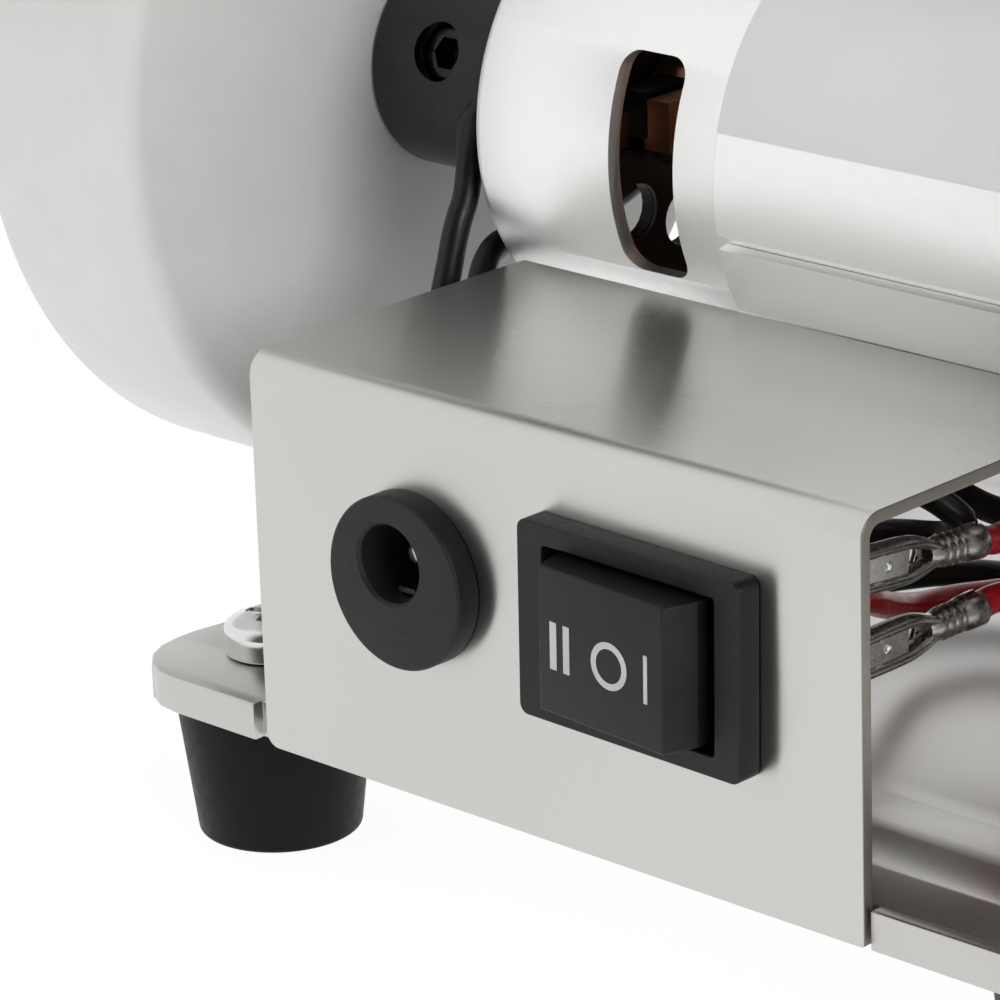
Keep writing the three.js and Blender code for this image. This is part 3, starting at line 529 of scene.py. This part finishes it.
# ---------------------------------------------------------------- base
def base_plate():
    middle_y = (PLATE_LOW.y + PLATE_HIGH.y) / 2
    corners = []
    for sign_x, sign_y in ((1, -1), (1, 1), (-1, 1), (-1, -1)):
        edge = middle_y + sign_y * (PLATE_HIGH.y - middle_y)
        inner = edge - sign_y * PLATE_EAR
        ear = [
            (sign_x * PLATE_HIGH.x, edge, 6.2 * MM),
            (sign_x * PLATE_HIGH.x, inner, 9 * MM),
            (sign_x * PLATE_BODY, inner, 2.5 * MM),
        ]
        corners += ear if sign_x * sign_y < 0 else ear[::-1]
    holes = [circle(2.3 * MM, *centre(f"foot_screw_{place}").xy, 32) for place in PLACES]
    piece = plate("base_plate_sheet", [rounded(corners), *holes], PLATE_HIGH.z - PLATE_LOW.z, 0.18 * MM)
    placed(piece, Matrix.Translation((0, 0, PLATE_LOW.z)))
    slot_left, slot_right = HOUSING_LOW.x - 1.7 * MM, HOUSING_HIGH.x + 0.3 * MM
    slot_back = HOUSING_LOW.y + SHEET + 0.3 * MM
    recess = plate("recess", [rounded([
        (slot_left, PLATE_LOW.y - 5 * MM, 0), (slot_right, PLATE_LOW.y - 5 * MM, 0),
        (slot_right, slot_back, 0), (slot_left, slot_back, 0)])], 12 * MM, 0)
    placed(recess, Matrix.Translation((0, 0, PLATE_LOW.z - 4 * MM)))
    carve(piece, recess)
    finish(soften(piece, 0.1 * MM), "base_steel", "base", "base_plate")


PLACES = ("front_left", "front_right", "rear_left", "rear_right")


def rubber_foot(place):
    low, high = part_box(f"rubber_foot_{place}")
    top, bottom, height = (high.x - low.x) / 2, 6.5 * MM, high.z - low.z
    profile = rounded([
        (0, 0, 0), (0, bottom, 0.45 * MM), (height - 0.5 * MM, top - 0.05 * MM, 0.3 * MM),
        (height, top - 0.2 * MM, 0.1 * MM), (height, 0, 0)])
    piece = turned(f"rubber_foot_{place}_body", profile)
    placed(piece, Matrix.Translation((centre(f"rubber_foot_{place}").x, centre(f"rubber_foot_{place}").y,
        low.z)))
    finish(piece, "foot_rubber", "base", f"rubber_foot_{place}")


def foot_screw(place, turn):
    low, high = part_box(f"foot_screw_{place}")
    middle = centre(f"foot_screw_{place}")
    head, radius = PLATE_HIGH.z + 0.05 * MM - low.z, (high.x - low.x) / 2
    top = high.z - low.z
    profile = rounded([
        (0, 0, 0), (0, 2 * MM, 0.4 * MM), (head, 2 * MM, 0), (head, radius, 0.25 * MM),
        (top - 0.8 * MM, radius - 0.04 * MM, 0.9 * MM), (top, radius * 0.5, 1.4 * MM), (top, 0, 0)])
    piece = turned(f"foot_screw_{place}_body", profile)
    cross = [plate("blade", [box_outline(length, width, 0.15 * MM)], 3 * MM, 0)
             for length, width in ((4.2 * MM, 0.85 * MM), (0.85 * MM, 4.2 * MM))]
    for blade in cross:
        placed(blade, Matrix.Translation((0, 0, top - 1.5 * MM)) @ Matrix.Rotation(turn, 4, "Z"))
    carve(piece, *cross)
    soften(piece, 0.06 * MM)
    placed(piece, Matrix.Translation((middle.x, middle.y, low.z)))
    finish(piece, "bright_steel", "base", f"foot_screw_{place}")


# ---------------------------------------------------------------- control housing
def control_housing():
    depth, height = HOUSING_HIGH.y - HOUSING_LOW.y, HOUSING_HIGH.z - HOUSING_LOW.z
    width = HOUSING_HIGH.x - HOUSING_LOW.x
    section = rounded([
        (0, 0, 0), (SHEET, 0, 0), (SHEET, height - SHEET, BEND - SHEET), (depth, height - SHEET, 0),
        (depth, height, 0), (0, height, BEND)], steps=10)
    piece = plate("control_housing_sheet", [section], width, 0.12 * MM)
    placed(piece, facing((0, 1, 0), (0, 0, 1), (1, 0, 0), HOUSING_LOW))
    jack = centre("dc_jack_body")
    hole = turned("hole", [(-3 * MM, 0), (-3 * MM, SOCKET_HOLE), (3 * MM, SOCKET_HOLE), (3 * MM, 0)], 64)
    placed(hole, along_y((jack.x, HOUSING_LOW.y, jack.z)))
    cut_out = plate("cut_out", [box_outline(*SWITCH_HOLE, 0.4 * MM)], 6 * MM, 0)
    placed(cut_out, switch_frame(3 * MM) @ along_y((0, 0, 0)))
    past = 0.01 * MM
    left, right, bottom = HOUSING_LOW.x - past, HOUSING_HIGH.x + past, HOUSING_LOW.z - past
    top = HOUSING_HIGH.z + height
    corner_trim = plate("corner_trim", [
        box_outline(3 * width, 6 * height, 0, left, bottom),
        rounded([(left, bottom, 1.3 * MM), (right, bottom, 0.3 * MM), (right, top, 0), (left, top, 0)])],
        2 * depth, 0)
    placed(corner_trim, along_y((0, HOUSING_HIGH.y + 5 * MM, 0)))
    carve(piece, hole, cut_out, corner_trim)
    finish(piece, "housing_steel", "base", "control_housing")
    sheared(piece)


def sheared(piece):
    """Gives the sheet's cut edges, which face along X, their duller tone."""
    piece.data.materials.append(MATERIALS["sheared_edge"])
    for face in piece.data.polygons:
        if abs(face.normal.x) > 0.7:
            face.material_index = 1


# ---------------------------------------------------------------- power socket
def power_socket():
    jack_low, jack_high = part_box("dc_jack_body")
    jack, bore = centre("dc_jack_body"), centre("dc_jack_pin")
    radius = (jack_high.x - jack_low.x) / 2
    length, proud = jack_high.y - jack_low.y, HOUSING_LOW.y - jack_low.y
    profile = rounded([
        (-length, 0, 0), (-length, SOCKET_THREAD, 0.3 * MM), (-proud, SOCKET_THREAD, 0),
        (-proud, radius, 0.15 * MM), (0, radius, 0.3 * MM), (0, 0, 0)])
    body = turned("dc_jack_shell", profile, 128)
    placed(body, along_y((jack.x, jack_low.y, jack.z)))
    bottom = -9 * MM - proud
    hole = turned("hole", rounded([
        (bottom, 0, 0), (bottom, PLUG_BORE, 0), (-0.25 * MM, PLUG_BORE, 0.2 * MM),
        (0.05 * MM, PLUG_MOUTH, 0), (1 * MM, PLUG_MOUTH, 0), (1 * MM, 0, 0)]), 96)
    placed(hole, along_y((bore.x, jack_low.y, bore.z)))
    carve(body, hole)
    finish(body, "jack_plastic", "base", "dc_jack_body")
    pin_low, pin_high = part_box("dc_jack_pin")
    reach, pin_radius = pin_high.y - pin_low.y, 1.05 * MM
    pin = turned("dc_jack_centre_pin", rounded([
        (-reach, 0, 0), (-reach, pin_radius, 0.1 * MM), (0, pin_radius, 0.6 * MM), (0, 0, 0)]), 48)
    placed(pin, along_y((bore.x, pin_low.y, bore.z)))
    finish(pin, "bright_steel", "base", "dc_jack_pin")


# ---------------------------------------------------------------- rocker switch
def switch_frame(depth=0.0):
    """From the switch's own frame, x right and z up, to the model's; depth is behind the panel face."""
    return Matrix.Translation(SWITCH + Vector((0, depth, 0))) @ Matrix.Rotation(SWITCH_TURN, 4, "Y")


def switch_body():
    mouth, case = box_outline(*SWITCH_MOUTH, 0.25 * MM), box_outline(*SWITCH_CASE, 0.5 * MM)
    clear = 0.05 * MM
    bezel = plate("bezel", [box_outline(*BEZEL, 0.8 * MM), mouth], BEZEL_PROUD - clear, 0.12 * MM)
    placed(bezel, along_y((0, -clear, 0)))
    walls = plate("walls", [case, mouth], 8.6 * MM, 0.1 * MM)
    placed(walls, along_y((0, 8.5 * MM, 0)))
    floor = plate("floor", [case], 4.2 * MM, 0.2 * MM)
    placed(floor, along_y((0, 12.5 * MM, 0)))
    piece = joined("switch_case", [bezel, walls, floor])
    placed(piece, switch_frame())
    finish(piece, "switch_plastic", "base", "switch_body")


def rocker_frame():
    offset = Matrix.Translation((ROCKER_OFFSET, 0, 0))
    return switch_frame(ROCKER_PIVOT) @ offset @ Matrix.Rotation(-ROCKER_TILT, 4, "Z")


def switch_rocker():
    """A cap with slanting ends that narrows in two steps to its pivot, drawn from above."""
    face, lip, waist = -ROCKER_REACH, -5.5 * MM, -4.5 * MM
    half_face, half_width = 6.2 * MM, 7 * MM
    right_side = [
        (half_face, face, 0.2 * MM), (half_width, lip, 0.3 * MM), (half_width, waist, 0.2 * MM),
        (3.2 * MM, 0.6 * MM, 0), (1.2 * MM, 2.2 * MM, 0)]
    left_side = [(-across, behind, radius) for across, behind, radius in reversed(right_side)]
    section = rounded([left_side[-1], *right_side, *left_side[:-1]])
    piece = plate("switch_rocker_cap", [section], ROCKER_HEIGHT, 0.18 * MM)
    placed(piece, rocker_frame() @ Matrix.Translation((0, 0, -ROCKER_HEIGHT / 2)))
    finish(piece, "switch_plastic", "rocker", "switch_rocker")


def switch_legend():
    """Printed position marks on the rocker: II, O and I, measured from the left edge of its face."""
    left, low, tall = -5.8 * MM, -0.27 * MM, 3.6 * MM
    bars = {
        "legend_two_left": (0.76, 1.42), "legend_two_right": (2.1, 2.72), "legend_one": (10.14, 10.5)}
    outlines = {
        name: [box_outline((b - a) * MM, tall, 0, left + (a + b) / 2 * MM, low)]
        for name, (a, b) in bars.items()}
    outlines["legend_off"] = [circle(size * MM, left + 6.69 * MM, low) for size in (1.78, 1.28)]
    for name, lines in outlines.items():
        piece = plate(name, lines, LEGEND, 0)
        placed(piece, rocker_frame() @ along_y((0, -ROCKER_REACH + LEGEND / 4, 0)))
        finish(piece, "legend_print", "rocker")


# ---------------------------------------------------------------- push-on connectors
def connector(row):
    """One crimped connector in its tab's frame: +Y along the tab, Z up, and its open side towards +X."""
    half, neck, slot = 1.35 * MM, 0.8 * MM, 0.75 * MM
    base = plate("base", [
        rounded([
            (0.9 * MM, -half, 0), (8 * MM, -half, 0), (9.3 * MM, -neck, 0), (9.3 * MM, neck, 0),
            (8 * MM, half, 0), (0.9 * MM, half, 0)]),
        rounded([
            (5 * MM, -slot, 0), (8.1 * MM, -slot, 0.3 * MM), (8.4 * MM, 0, 0.3 * MM),
            (8.1 * MM, slot, 0.3 * MM), (5 * MM, slot, 0)])], 0.4 * MM, 0.06 * MM)
    placed(base, facing((0, 1, 0), (0, 0, 1), (1, 0, 0), (-0.98 * MM, 0, 0)))
    parts = [base]
    rolled_edge = (
        (0.9, 1.3), (2, 1.33), (3.5, 1.35), (5.5, 1.35), (6.8, 1.3), (7.8, 1.08), (8.6, 0.82), (9.2, 0.6),
        (10, 0.5))
    for sign in (1, -1):
        roll = cable("roll", [(0, y * MM, sign * z * MM) for y, z in rolled_edge], 0.48 * MM, 6)
        placed(roll, Matrix.Diagonal((1.85, 1, 1, 1)))
        parts.append(roll)
    ridged = [(8.7, 0), (8.7, 0.75), (9.2, 1.0), (9.9, 1.14)]
    for ridge in (10.4, 11.25, 12.1):
        ridged += [(ridge - 0.22, 1.1), (ridge - 0.1, 1.24), (ridge + 0.1, 1.26), (ridge + 0.22, 1.12)]
    crimp = [*ridged, (12.7, 1.2), (12.95, 1.34), (14.2, 1.4), (14.7, 1.4), (14.8, 1.34), (14.8, 1.2),
        (13.9, 1.15), (13.9, 0)]
    barrel = turned("barrel", [(a * MM, r * MM) for a, r in crimp], 48)
    placed(barrel, facing((1, 0, 0), (0, 0, -1), (0, 1, 0)))
    seam = plate("seam", [box_outline(2.4 * MM, 0.5 * MM, 0, 14 * MM)], 1 * MM, 0)
    placed(seam, facing((0, 1, 0), (1, 0, 0), (0, 0, -1), (0, 0, 1.9 * MM)))
    carve(barrel, seam)
    parts.append(barrel)
    piece = joined(f"spade_connector_{row}_crimp", parts)
    placed(piece, tab_frame(row))
    finish(piece, "tin_plate", "base", f"spade_connector_{row}")


def tab_frame(row):
    height = {"upper": 3.35, "lower": -3.35}[row]
    place = Matrix.Translation((7.9 * MM, 12.5 * MM, height * MM))
    return switch_frame() @ place @ Matrix.Rotation(-CONNECTOR_DROOP[row], 4, "X")


def tab_dimple(row):
    piece = turned(f"tab_dimple_{row}", rounded([
        (0, 0.42 * MM, 0), (0.2 * MM, 0.3 * MM, 0.1 * MM), (0.24 * MM, 0, 0)]), 24)
    placed(piece, tab_frame(row) @ along_x((0.38 * MM, 4.1 * MM, 0)))
    finish(piece, "bright_steel", "base")


# ---------------------------------------------------------------- motor
def motor_can():
    left, right, boss = CAN_LOW.x - SPINDLE.x, CAN_HIGH.x - SPINDLE.x - 4.25 * MM, CAN_HIGH.x - SPINDLE.x
    radius = (CAN_HIGH.z - CAN_LOW.z) / 2
    inner, boss_radius, bearing_seat, shaft_hole = radius - 1.3 * MM, 6.5 * MM, 5.05 * MM, 3.3 * MM
    boss_floor, end_wall = boss - 0.8 * MM, right - 1.5 * MM
    profile = rounded([
        (left, inner, 0.3 * MM), (left, radius, 0.9 * MM), (right, radius, 2.2 * MM),
        (right, boss_radius, 0.6 * MM), (boss, boss_radius, 0.5 * MM), (boss, shaft_hole, 0.2 * MM),
        (boss_floor, shaft_hole, 0), (boss_floor, bearing_seat, 0), (end_wall, bearing_seat, 0),
        (end_wall, inner, 0.5 * MM)])
    piece = turned("motor_case", [*profile, profile[0]], 160)
    placed(piece, along_x(SPINDLE))
    vent = plate("vent", [box_outline(6.6 * MM, 17.4 * MM, 1.7 * MM, steps=8)], 50 * MM, 0)
    placed(vent, along_y((-17.8 * MM, SPINDLE.y + 25 * MM, SPINDLE.z + 0.2 * MM)))
    carve(piece, vent)
    finish(soften(piece, 0.08 * MM), "nickel", "base", "motor_can")


def ring_sector(name, inner, outer, start, end, low_x, high_x, edge, count=120):
    """Part of a ring round the spindle between two angles counted from +Y towards +Z."""
    angles = [start + (end - start) * i / count for i in range(count + 1)]
    rim = [Vector((outer * math.cos(a), outer * math.sin(a))) for a in angles]
    bore = [Vector((inner * math.cos(a), inner * math.sin(a))) for a in reversed(angles)]
    piece = plate(name, [rim + bore], high_x - low_x, edge)
    return placed(piece, facing((0, 1, 0), (0, 0, 1), (1, 0, 0), (low_x, SPINDLE.y, SPINDLE.z)))


def flux_ring():
    outer = (RING_HIGH.z - RING_LOW.z) / 2
    piece = ring_sector(
        "flux_ring_sleeve", outer - SHEET, outer, RING_GAP[1], RING_GAP[0] + 2 * math.pi, RING_LOW.x,
        RING_HIGH.x, 0.12 * MM, 180)
    finish(piece, "nickel", "base", "flux_ring")


def motor_label():
    low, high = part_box("motor_label")
    inner = (RING_HIGH.z - RING_LOW.z) / 2 + 0.02 * MM
    piece = ring_sector(
        "motor_label_skin", inner, inner + 0.12 * MM, *LABEL_ARC, low.x, high.x, 0.02 * MM)
    finish(piece, "label_foil", "base", "motor_label")


def brush_card():
    """The brown card on the inside of the end cap, seen through the cooling slot, with its air holes."""
    ring, holes = 9.7 * MM, []
    for angle in map(math.radians, (55, 90, 125, 235, 270, 305)):
        holes.append(circle(2.3 * MM, ring * math.cos(angle), ring * math.sin(angle), 32))
    rim, middle_hole = circle(16.2 * MM, count=96), circle(5.2 * MM)
    piece = plate("brush_card", [rim, middle_hole, *holes], 0.4 * MM, 0.05 * MM)
    placed(piece, along_x((-29.75 * MM, SPINDLE.y, SPINDLE.z)))
    finish(piece, "varnish_brown", "base")


def brush_holder():
    """The black block that holds the front brush's clip, seen through the cooling slot."""
    piece = plate("brush_holder", [box_outline(3.3 * MM, 5 * MM, 0.2 * MM)], 5.4 * MM, 0.1 * MM)
    placed(piece, along_y((-27 * MM, SPINDLE.y - 3.5 * MM, SPINDLE.z + 0.65 * MM)))
    finish(piece, "jack_plastic", "base")


def motor_shaft():
    low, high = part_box("motor_shaft")
    profile = rounded([
        (low.x, 0, 0), (low.x, SHAFT_RADIUS, 0.3 * MM), (high.x, SHAFT_RADIUS, 0.3 * MM), (high.x, 0, 0)])
    piece = turned("motor_shaft_rod", profile, 48)
    placed(piece, along_x((0, SPINDLE.y, SPINDLE.z)))
    finish(piece, "bright_steel", "spindle", "motor_shaft")


# ---------------------------------------------------------------- spindle ends
def arbor(name, side):
    low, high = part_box(f"arbor_{name}")
    near, tip = sorted((abs(low.x), abs(high.x)))
    radius, bore_end = (high.z - low.z) / 2, 52 * MM
    profile = rounded([
        (near, ARBOR_BORE, 0.2 * MM), (near, radius, 0.5 * MM), (ARBOR_SHOULDER, radius, 0.5 * MM),
        (ARBOR_SHOULDER, ARBOR_SPIGOT, 0), (tip, ARBOR_SPIGOT, 0.9 * MM), (tip, 0, 0), (bore_end, 0, 0),
        (bore_end, ARBOR_BORE, 0)])
    piece = turned(f"arbor_{name}_collar", [*profile, profile[0]], 128)
    placed(piece, along_x((0, SPINDLE.y, SPINDLE.z), side))
    hole_radius = 2.45 * MM
    hole = turned("hole", [(2 * MM, 0), (2 * MM, hole_radius), (12 * MM, hole_radius), (12 * MM, 0)], 48)
    placed(hole, set_screw_frame(side))
    carve(piece, hole)
    finish(soften(piece, 0.15 * MM), "black_steel", "spindle", f"arbor_{name}")


def set_screw_frame(side):
    """The set screw's axis: out of the spindle to the front and a little up."""
    out = Vector((0, math.cos(SET_SCREW_ANGLE), math.sin(SET_SCREW_ANGLE)))
    across = Vector((1, 0, 0))
    return facing(across, out.cross(across), out, (side * SET_SCREW_PLACE, SPINDLE.y, SPINDLE.z))


def set_screw(name, side):
    piece = turned(f"set_screw_{name}_body", rounded([
        (3 * MM, 0, 0), (3 * MM, SET_SCREW_RADIUS, 0.2 * MM), (7.9 * MM, SET_SCREW_RADIUS, 0.4 * MM),
        (7.9 * MM, 0, 0)]), 48)
    socket = plate("socket", [circle(1.44 * MM, count=6)], 4 * MM, 0)
    placed(socket, Matrix.Translation((0, 0, 5.6 * MM)))
    carve(piece, socket)
    placed(piece, set_screw_frame(side))
    finish(soften(piece, 0.06 * MM), "black_steel", "spindle", f"set_screw_{name}")


def wheel(name, side):
    low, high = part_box(f"wheel_{name}")
    near, far = sorted((abs(low.x), abs(high.x)))
    radius = (high.z - low.z) / 2
    profile = rounded([
        (near, WHEEL_BORE, 0.3 * MM), (near, radius, 1.8 * MM), (far, radius, 1.8 * MM),
        (far, WHEEL_BORE, 0.3 * MM)], steps=8)
    piece = turned(f"wheel_{name}_disc", [*profile, profile[0]], 192)
    placed(piece, along_x((0, SPINDLE.y, SPINDLE.z), side))
    finish(piece, "wheel_abrasive", "spindle", f"wheel_{name}")


def flange_washer(name, side):
    low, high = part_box(f"flange_washer_{name}")
    near, far = sorted((abs(low.x), abs(high.x)))
    radius = (high.z - low.z) / 2
    profile = rounded([
        (near, WHEEL_BORE, 0), (near, radius, 0.2 * MM), (far, radius, 0.4 * MM),
        (far, WHEEL_BORE, 0.2 * MM)])
    piece = turned(f"flange_washer_{name}_ring", [*profile, profile[0]], 96)
    placed(piece, along_x((0, SPINDLE.y, SPINDLE.z), side))
    finish(piece, "bright_steel", "spindle", f"flange_washer_{name}")


def arbor_nut(name, side):
    low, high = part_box(f"arbor_nut_{name}")
    near, far = sorted((abs(low.x), abs(high.x)))
    corner = 13 * MM / math.cos(math.pi / 6) / 2
    hexagon, bore = circle(corner, count=6), circle(WHEEL_BORE, count=48)
    piece = plate(f"arbor_nut_{name}_hex", [hexagon, bore], far - near, 0.12 * MM)
    placed(piece, Matrix.Rotation(math.pi / 6, 4, "Z"))
    placed(piece, along_x((side * near, SPINDLE.y, SPINDLE.z), side))
    finish(piece, "bright_steel", "spindle", f"arbor_nut_{name}")


# ---------------------------------------------------------------- leads
# Each lead's slot and its route in millimetres; part.mjs has the same points.
LEADS = {
    "motor_lead_front": ("black_insulation", [
        (-40.9, -8.7, 53.3), (-40.2, -10.6, 52.4), (-38.6, -12.4, 50.8), (-37.7, -13.9, 48),
        (-37.5, -15.2, 45.9), (-37.5, -16.2, 43), (-37.2, -17.8, 38), (-34, -19.6, 32), (-29, -21, 26),
        (-21, -22, 21), (-12, -22, 19), (-5, -19.6, 21), (-1, -19.4, 25.4), (-0.2, -21.2, 27),
        (-0.2, -24.4, 26.8)]),
    "motor_lead_rear": ("black_insulation", [
        (-40.9, 13.8, 53.2), (-41, 13.9, 49.5), (-40.6, 11, 44.6), (-40.2, 4, 42.4), (-39.6, -3, 42.4),
        (-39, -9, 42.6), (-37.4, -12.8, 41), (-35.2, -15.6, 37.6), (-29, -17, 32.6), (-18, -16.5, 29),
        (-8, -14.6, 27.8), (0, -13.6, 28.2), (6, -13.2, 29.2), (10.4, -13, 30), (12.4, -14, 31.8),
        (10.4, -15.6, 33.9), (5, -16.8, 35.4), (1, -18.2, 35.4), (-0.1, -20.4, 34.2), (-0.2, -22, 33.4),
        (-0.2, -24.4, 33.3)]),
    "jack_lead_black": ("black_insulation", [
        (-15.9, -28.8, 28.4), (-15.7, -26, 27), (-15, -20, 22.6), (-13, -11, 19.2), (-10, -2, 18),
        (-5.4, 6.4, 17.8), (1, 9.6, 17.8), (8, 8.8, 18.4), (15, 3.6, 21.6), (19.4, -2.6, 25.6),
        (20.6, -6.4, 28.4), (18.6, -7.4, 29.8), (14, -6.8, 30), (10.4, -7, 30.1), (8, -7, 30.4),
        (5.4, -7.3, 31.4), (2.6, -8.5, 34), (2.4, -12, 37.2), (4.4, -16.4, 39), (6.8, -19, 37),
        (7.7, -20.8, 34.2), (7.7, -24.4, 33.2)]),
    "jack_lead_red": ("red_insulation", [
        (-15.9, -28.8, 30.95), (-14.4, -24, 31.6), (-8.5, -20.2, 31.4), (-2.5, -17.6, 31.6),
        (3.2, -17.4, 29.6), (6.6, -18.4, 27.3), (7.7, -20.6, 26.9), (7.7, -24.4, 26.7)]),
    "switch_lead_upper": ("red_insulation", [
        (15.7, -16.05, 31.6), (15.75, -14.2, 31.2), (16, -11.4, 31.6), (16.6, -7, 33), (16.8, -1.4, 32.4),
        (17, 3.4, 28), (14.4, 5.8, 24.3), (9, 5.4, 21.4), (3.4, 3.4, 19.2), (0.6, 0, 18.9),
        (-0.1, -4.3, 19.3), (1.2, -9.4, 21.2), (2.2, -12.8, 22.8), (2.4, -17, 24), (0.6, -21, 24.1),
        (0.2, -24, 23.8), (1.4, -26, 25.2), (1.7, -27.2, 26.6), (1.7, -28.6, 27)]),
    "switch_lead_lower": ("red_insulation", [
        (15.6, -16, 26.5), (15.75, -14.2, 26.6), (16.3, -11.4, 26.2), (18.6, -7.6, 24.4), (23, -2, 24.6),
        (23, 4.5, 28), (15, 5.6, 31.4), (8.5, -0.6, 32), (4.6, -4, 33.2), (-1, -8, 35), (-3.4, -12.6, 36.6),
        (-2.4, -18, 37.6), (1.4, -21.8, 36.6), (2.4, -24.6, 34.6), (1.7, -27, 33.3), (1.7, -28.6, 33.2)]),
}


ROUTE_STEPS = 6                 # points of the curve for each point of a route


def smooth_route(points):
    """A smooth curve that passes through every point, in metres."""
    places = [Vector(p) * MM for p in points]
    places = [2 * places[0] - places[1], *places, 2 * places[-1] - places[-2]]
    route = []
    for a, b, c, d in zip(places, places[1:], places[2:], places[3:]):
        for step in range(ROUTE_STEPS):
            t = step / ROUTE_STEPS
            route.append(0.5 * (
                2 * b + (c - a) * t + (2 * a - 5 * b + 4 * c - d) * t ** 2
                + (3 * b - a - 3 * c + d) * t ** 3))
    route.append(places[-2])
    return route


def lead(name):
    material, points = LEADS[name]
    piece = cable(f"{name}_cord", smooth_route(points), LEAD_RADIUS)
    finish(piece, material, "base", name)


# ---------------------------------------------------------------- assembly
def build():
    add_camera()
    make_materials()
    dress_cad_nodes()
    base_plate()
    for index, place in enumerate(PLACES):
        rubber_foot(place)
        foot_screw(place, 0.4 + 0.9 * index)
    control_housing()
    power_socket()
    switch_body()
    switch_rocker()
    switch_legend()
    for row in ("upper", "lower"):
        connector(row)
        tab_dimple(row)
    motor_can()
    flux_ring()
    motor_label()
    brush_card()
    brush_holder()
    motor_shaft()
    for name, side in (("left", -1), ("right", 1)):
        arbor(name, side)
        set_screw(name, side)
        wheel(name, side)
        flange_washer(name, side)
        arbor_nut(name, side)
    for name in LEADS:
        lead(name)
    add_world()
    add_floor()


build()
